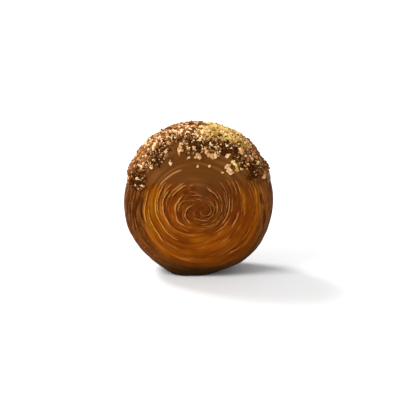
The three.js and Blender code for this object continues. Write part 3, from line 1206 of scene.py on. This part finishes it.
def with_layers(finish, p, colour):
    """The colour with thin dark and pale streaks, painted shade in the cracks, a deeper painted shadow
    in gaps in them, and pale lips whose colour also carries a painted highlight.
    """
    drawn_out = 1 - p.shoulder * p.low_side * 0.8
    dark = finish.step(p.thin_streaks, 0.52, 0.7) * drawn_out * 0.6
    colour = finish.mix(dark, colour, RED_BROWN)
    pale = (1 - finish.step(p.thin_streaks, 0.3, 0.44)) * drawn_out * 0.3
    colour = finish.mix(pale, colour, LIP)
    # Painted shade in the cracks.
    colour = finish.mix(finish.step(p.crack, 0.2, 0.9) * 0.7, colour, CRACK_SHADE)
    # A deeper painted shadow in gaps in the cracks, more of them near the icing.
    near_icing = finish.step(p.up, 2.0, 12.0)
    gaps = finish.step(p.patches + near_icing * 0.18 + p.eye * 0.06, 0.52, 0.62)
    colour = finish.mix(finish.step(p.crack, 0.15, 0.6) * gaps * 0.8, colour, DEEP_SHADOW)
    # The lips' pale colour also holds a painted highlight.
    lip = finish.mix(p.gold * 0.7, LIP, GOLDEN_LIP)
    lip = finish.mix(p.eye.at_least(p.stained), lip, EYE_LIP)
    shown = 0.85 - p.shoulder * (0.5 + p.low_side * 0.2) - p.stained * 0.4
    colour = finish.mix(p.lip * shown, colour, lip)
    flecks = finish.step(p.specks, 0.6, 0.7) * p.shoulder
    return finish.mix(flecks * (0.17 + p.low_side * 0.08), colour, LIP)


def with_rim_and_shade(finish, p, colour):
    """The colour with the rim's smooth skin, and painted shade on the rim's right edge, to the lower
    right and at the foot.
    """
    skin = finish.mix(finish.step(p.broad + p.patches * 0.3, 0.52, 0.78), SKIN_DARK, SKIN)
    colour = finish.mix(p.on_rim * 0.75, colour, skin)
    # Painted shade along the rim's right edge.
    colour = finish.mix(p.on_rim * finish.step(p.x, 30.0, 50.0) * 0.75, colour, PAINTED_SHADE)
    # Painted shade near the outline, at the lower right and on the right.
    under_edge = finish.step(p.near + p.patches * 5.0, FLAT_RADIUS + 9, FLAT_RADIUS + 18)
    in_shade = p.low_right.at_least(finish.step(p.x, 34.0, 48.0) * 0.45)
    colour = finish.mix(in_shade * under_edge * 0.9, colour, PAINTED_SHADE)
    # Painted shade where the lower right turns away from the light.
    shade_turned_away = finish.step(p.x * 0.6 - p.up * 0.8, 26.0, 42.0)
    colour = finish.mix(shade_turned_away * 0.26, colour, PAINTED_SHADE)
    # Painted shade at the foot.
    foot = 1 - finish.step(p.z + p.broad * 8.0, 5.0, 23.0)
    return finish.mix(foot, colour, PAINTED_SHADE)


# %% The crust's finish
def crust(piece):
    """The colours, a soft gloss, and a bump of thin streaks, fine grain and the rim's patches."""
    finish = Finish("crust")
    p = crust_patterns(finish)
    colour = with_layers(finish, p, dough_colour(finish, p))
    relief = p.thin_streaks * (0.7 - p.on_rim * 0.5) + p.fine * 0.3 + p.patches * p.on_rim
    finish.dress(
        piece,
        {
            "Base Color": with_rim_and_shade(finish, p, colour),
            "Roughness": 0.4 + finish.step(p.fine, 0.3, 0.7) * 0.15,
            "Specular IOR Level": 0.03,
            "Normal": finish.bump(relief, 0.4, 0.6),
        },
    )


crust(pastry)

# %% [markdown]
# ## Chocolate and nuts
#
# Milk chocolate that has set is satin, with a soft broad shine. Painted sheen and painted shade lie in
# bands along the coil, and a painted sheen makes it paler to the left. It is redder where it is thin,
# as dark as the eye where the film lies over that, and darker where crumbs lie, with painted shade
# there and a painted highlight along the raised edge of their bed. Its lips carry a painted highlight
# and its cracks painted shade.
# Chopped hazelnut is cream where it was cut and tan where its skin was. The crumbs share one recipe:
# each carries a number, `tone`, that picks its place between two colours.

# %% The icing's finish
MILK = screen(97, 54, 7)
# A painted sheen to the left, and painted sheen and shade in bands along the coil.
MILK_LEFT_SHEEN = screen(102, 57, 14)
MILK_SHEEN = screen(144, 92, 40)
MILK_FURROW_SHADE = screen(84, 43, 5)
# A painted highlight on the icing's lips.
MILK_LIP_HIGHLIGHT = screen(180, 120, 66)
# Darker chocolate among the crumbs, with painted shade, and a painted highlight on their bed's edge.
BED_SHADE = screen(72, 33, 0)
EDGE_HIGHLIGHT = screen(186, 126, 74)
GOLDEN_DUST = screen(150, 108, 48)
FILM_AT = (8.0, 6.0)


def milk_chocolate(piece):
    """Chocolate over the values that its mesh carries: the height above the dip line, the bands along
    the coil, with painted sheen and painted shade, the lips and the cracks under it, with a painted
    highlight and painted shade, and the beds of crumbs and of golden crumbs, with painted shade among
    the crumbs and a painted highlight along the bed's edge. It is paler to the left, a painted sheen."""
    finish = Finish("milk_chocolate")
    where = finish.where()
    x, _, z = finish.parts(where)
    broad = finish.noise(where, 14.0, 2.0)
    fine = finish.noise(where, 0.9, 3.0)
    bed = finish.value("bed")
    sheen_band = finish.value("sheen_band")
    # Paler to the left: a painted sheen.
    pale = finish.step(broad * 30.0 - x, 12.0, 40.0)
    colour = finish.mix(pale, MILK, MILK_LEFT_SHEEN)
    # Painted sheen on the bands along the coil, and painted shade between them.
    colour = finish.mix(finish.step(sheen_band, 0.0, 0.7) * 0.35, colour, MILK_SHEEN)
    colour = finish.mix((1 - finish.step(sheen_band, -0.7, 0.0)) * 0.3, colour, MILK_FURROW_SHADE)
    thin = 1 - finish.step(finish.value("height") + broad * 6.0, 2.0, 12.0)
    colour = finish.mix(thin * 0.45, colour, RED_BROWN)
    off_eye = finish.flat_length(x - FILM_AT[0], z - AXIS_HEIGHT - FILM_AT[1])
    colour = finish.mix((1 - finish.step(off_eye, 8.0, 18.0)) * 0.6, colour, EYE)
    # Painted shade in the cracks under the icing, and a painted highlight on its lips.
    colour = finish.mix(finish.value("crack") * 0.5, colour, CRACK_SHADE)
    colour = finish.mix(finish.step(finish.value("lip"), 0.15, 0.7) * 0.85, colour, MILK_LIP_HIGHLIGHT)
    # Painted shade among the crumbs, and a painted highlight along the raised edge of their bed.
    edge = finish.step(bed, 0.25, 0.5) * (1 - finish.step(bed, 0.5, 0.75))
    colour = finish.mix(bed * 0.9, colour, BED_SHADE)
    colour = finish.mix(edge * finish.step(broad, 0.4, 0.55) * 0.6, colour, EDGE_HIGHLIGHT)
    colour = finish.mix(finish.value("gold"), colour, GOLDEN_DUST)
    finish.dress(
        piece,
        {
            "Base Color": colour,
            "Roughness": 0.36 + bed * 0.25,
            "Specular IOR Level": 0.06,
            "Normal": finish.bump(broad * 0.5 + fine * 0.1 + bed * fine, 0.5, 0.6),
        },
    )


milk_chocolate(icing)

# %% The crumbs' finishes
NUT_TAN = screen(184, 127, 72)
CRUMB_LOOKS = {
    # dark, pale, specks, roughness
    "hazelnut_crumbs": (NUT_TAN, screen(254, 219, 168), screen(140, 84, 40), 0.5),
    "hazelnut_pieces": (screen(196, 146, 96), screen(238, 200, 148), NUT_TAN, 0.5),
    "chocolate_crumbs": (screen(70, 32, 0), screen(148, 96, 50), screen(58, 24, 0), 0.5),
    "golden_crumbs": (screen(188, 146, 66), screen(238, 212, 138), screen(156, 108, 42), 0.4),
}


def crumb(piece, dark, pale, speck, roughness):
    """A colour between dark and pale for each crumb, with specks where a noise is high."""
    finish = Finish(piece.name)
    where = finish.where()
    mottle = finish.noise(where, 0.8, 3.0)
    colour = finish.mix(finish.step(finish.value("tone"), 0.05, 0.95), dark, pale)
    colour = finish.mix(finish.step(mottle, 0.52, 0.68) * 0.6, colour, speck)
    finish.dress(
        piece,
        {
            "Base Color": colour,
            "Roughness": roughness + mottle * 0.2,
            "Specular IOR Level": 0.03,
            "Normal": finish.bump(mottle, 0.25, 0.7),
        },
    )


for name, look in CRUMB_LOOKS.items():
    crumb(pieces[name], *look)

# %% [markdown]
# ## Riding on the frame
#
# The pastry and the icing stand for the two solids. Everything rides on the one body.

# %% Each piece on the one body, and the two solids hidden
SLOTS = {
    "pastry": "pastry",
    "chocolate_coat": "icing",
    "chocolate_crumbs": "icing",
    "hazelnut_crumbs": "hazelnut",
    "hazelnut_pieces": "hazelnut",
    "golden_crumbs": "hazelnut",
}
for name, slot in SLOTS.items():
    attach(pieces[name], "root")
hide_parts("pastry_roll")
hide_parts("chocolate_icing")
print(len(SLOTS), "pieces, two of them in place of solids")

# %% [markdown]
# ## Floor, light and camera
#
# A white floor, a pale sky all round, one large soft light from the front left, so that the right side
# and the underside fall into shade, and a smaller one from behind that lights the rim. The camera looks
# slightly down through a long lens.

# %% The floor
FLOOR_HALF = 3000.0
corners = FLOOR_HALF * np.array([(-1, -1, 0), (1, -1, 0), (1, 1, 0), (-1, 1, 0)])
floor = make_piece("floor", corners, np.array([[0, 1, 2, 3]]), smooth=False)
Finish("white_floor").dress(floor, {"Base Color": screen(232, 232, 232), "Roughness": 0.8})


# %% The lights
WHITE = (1, 1, 1, 1)
SKY_STRENGTH = 0.66


def soft_light(name, at, size, power):
    """A square lamp at a place in millimetres, turned towards the roll's middle."""
    lamp = bpy.data.lights.new(name, "AREA")
    lamp.size = size * MM
    lamp.energy = power
    holder = bpy.data.objects.new(name, lamp)
    holder.location = Vector(at) * MM
    aim = Vector((0, 0, AXIS_HEIGHT)) * MM - holder.location
    holder.rotation_euler = aim.to_track_quat("-Z", "Y").to_euler()
    bpy.context.scene.collection.objects.link(holder)


soft_light("key", (-1700, -1000, 1950), 1300, 55)
soft_light("rim", (-1100, 900, 1500), 700, 38)

sky = bpy.data.worlds.new("pale_sky")
sky.use_nodes = True
background = sky.node_tree.nodes["Background"]
background.inputs["Color"].default_value = WHITE
background.inputs["Strength"].default_value = SKY_STRENGTH
bpy.context.scene.world = sky
bpy.context.scene.view_settings.view_transform = "Standard"
print(f"{len(bpy.data.lights)} lights, and a sky of strength {SKY_STRENGTH}")

# %% The camera
ELEVATION = np.radians(16.5)
DISTANCE = 897.0
FIELD = np.radians(17.9)
PICTURE = 400
SHIFT = (1.2, 0.7)

camera = bpy.data.objects.new("camera", bpy.data.cameras.new("camera"))
back = Vector((0, -np.cos(ELEVATION), np.sin(ELEVATION)))
camera.location = (Vector((0, 0, AXIS_HEIGHT)) + DISTANCE * back) * MM
camera.rotation_euler = (-back).to_track_quat("-Z", "Y").to_euler()
camera.data.angle = FIELD
camera.data.shift_x = SHIFT[0] / PICTURE
camera.data.shift_y = SHIFT[1] / PICTURE
bpy.context.scene.collection.objects.link(camera)
bpy.context.scene.camera = camera
print("camera at, mm:", [round(x / MM) for x in camera.location])
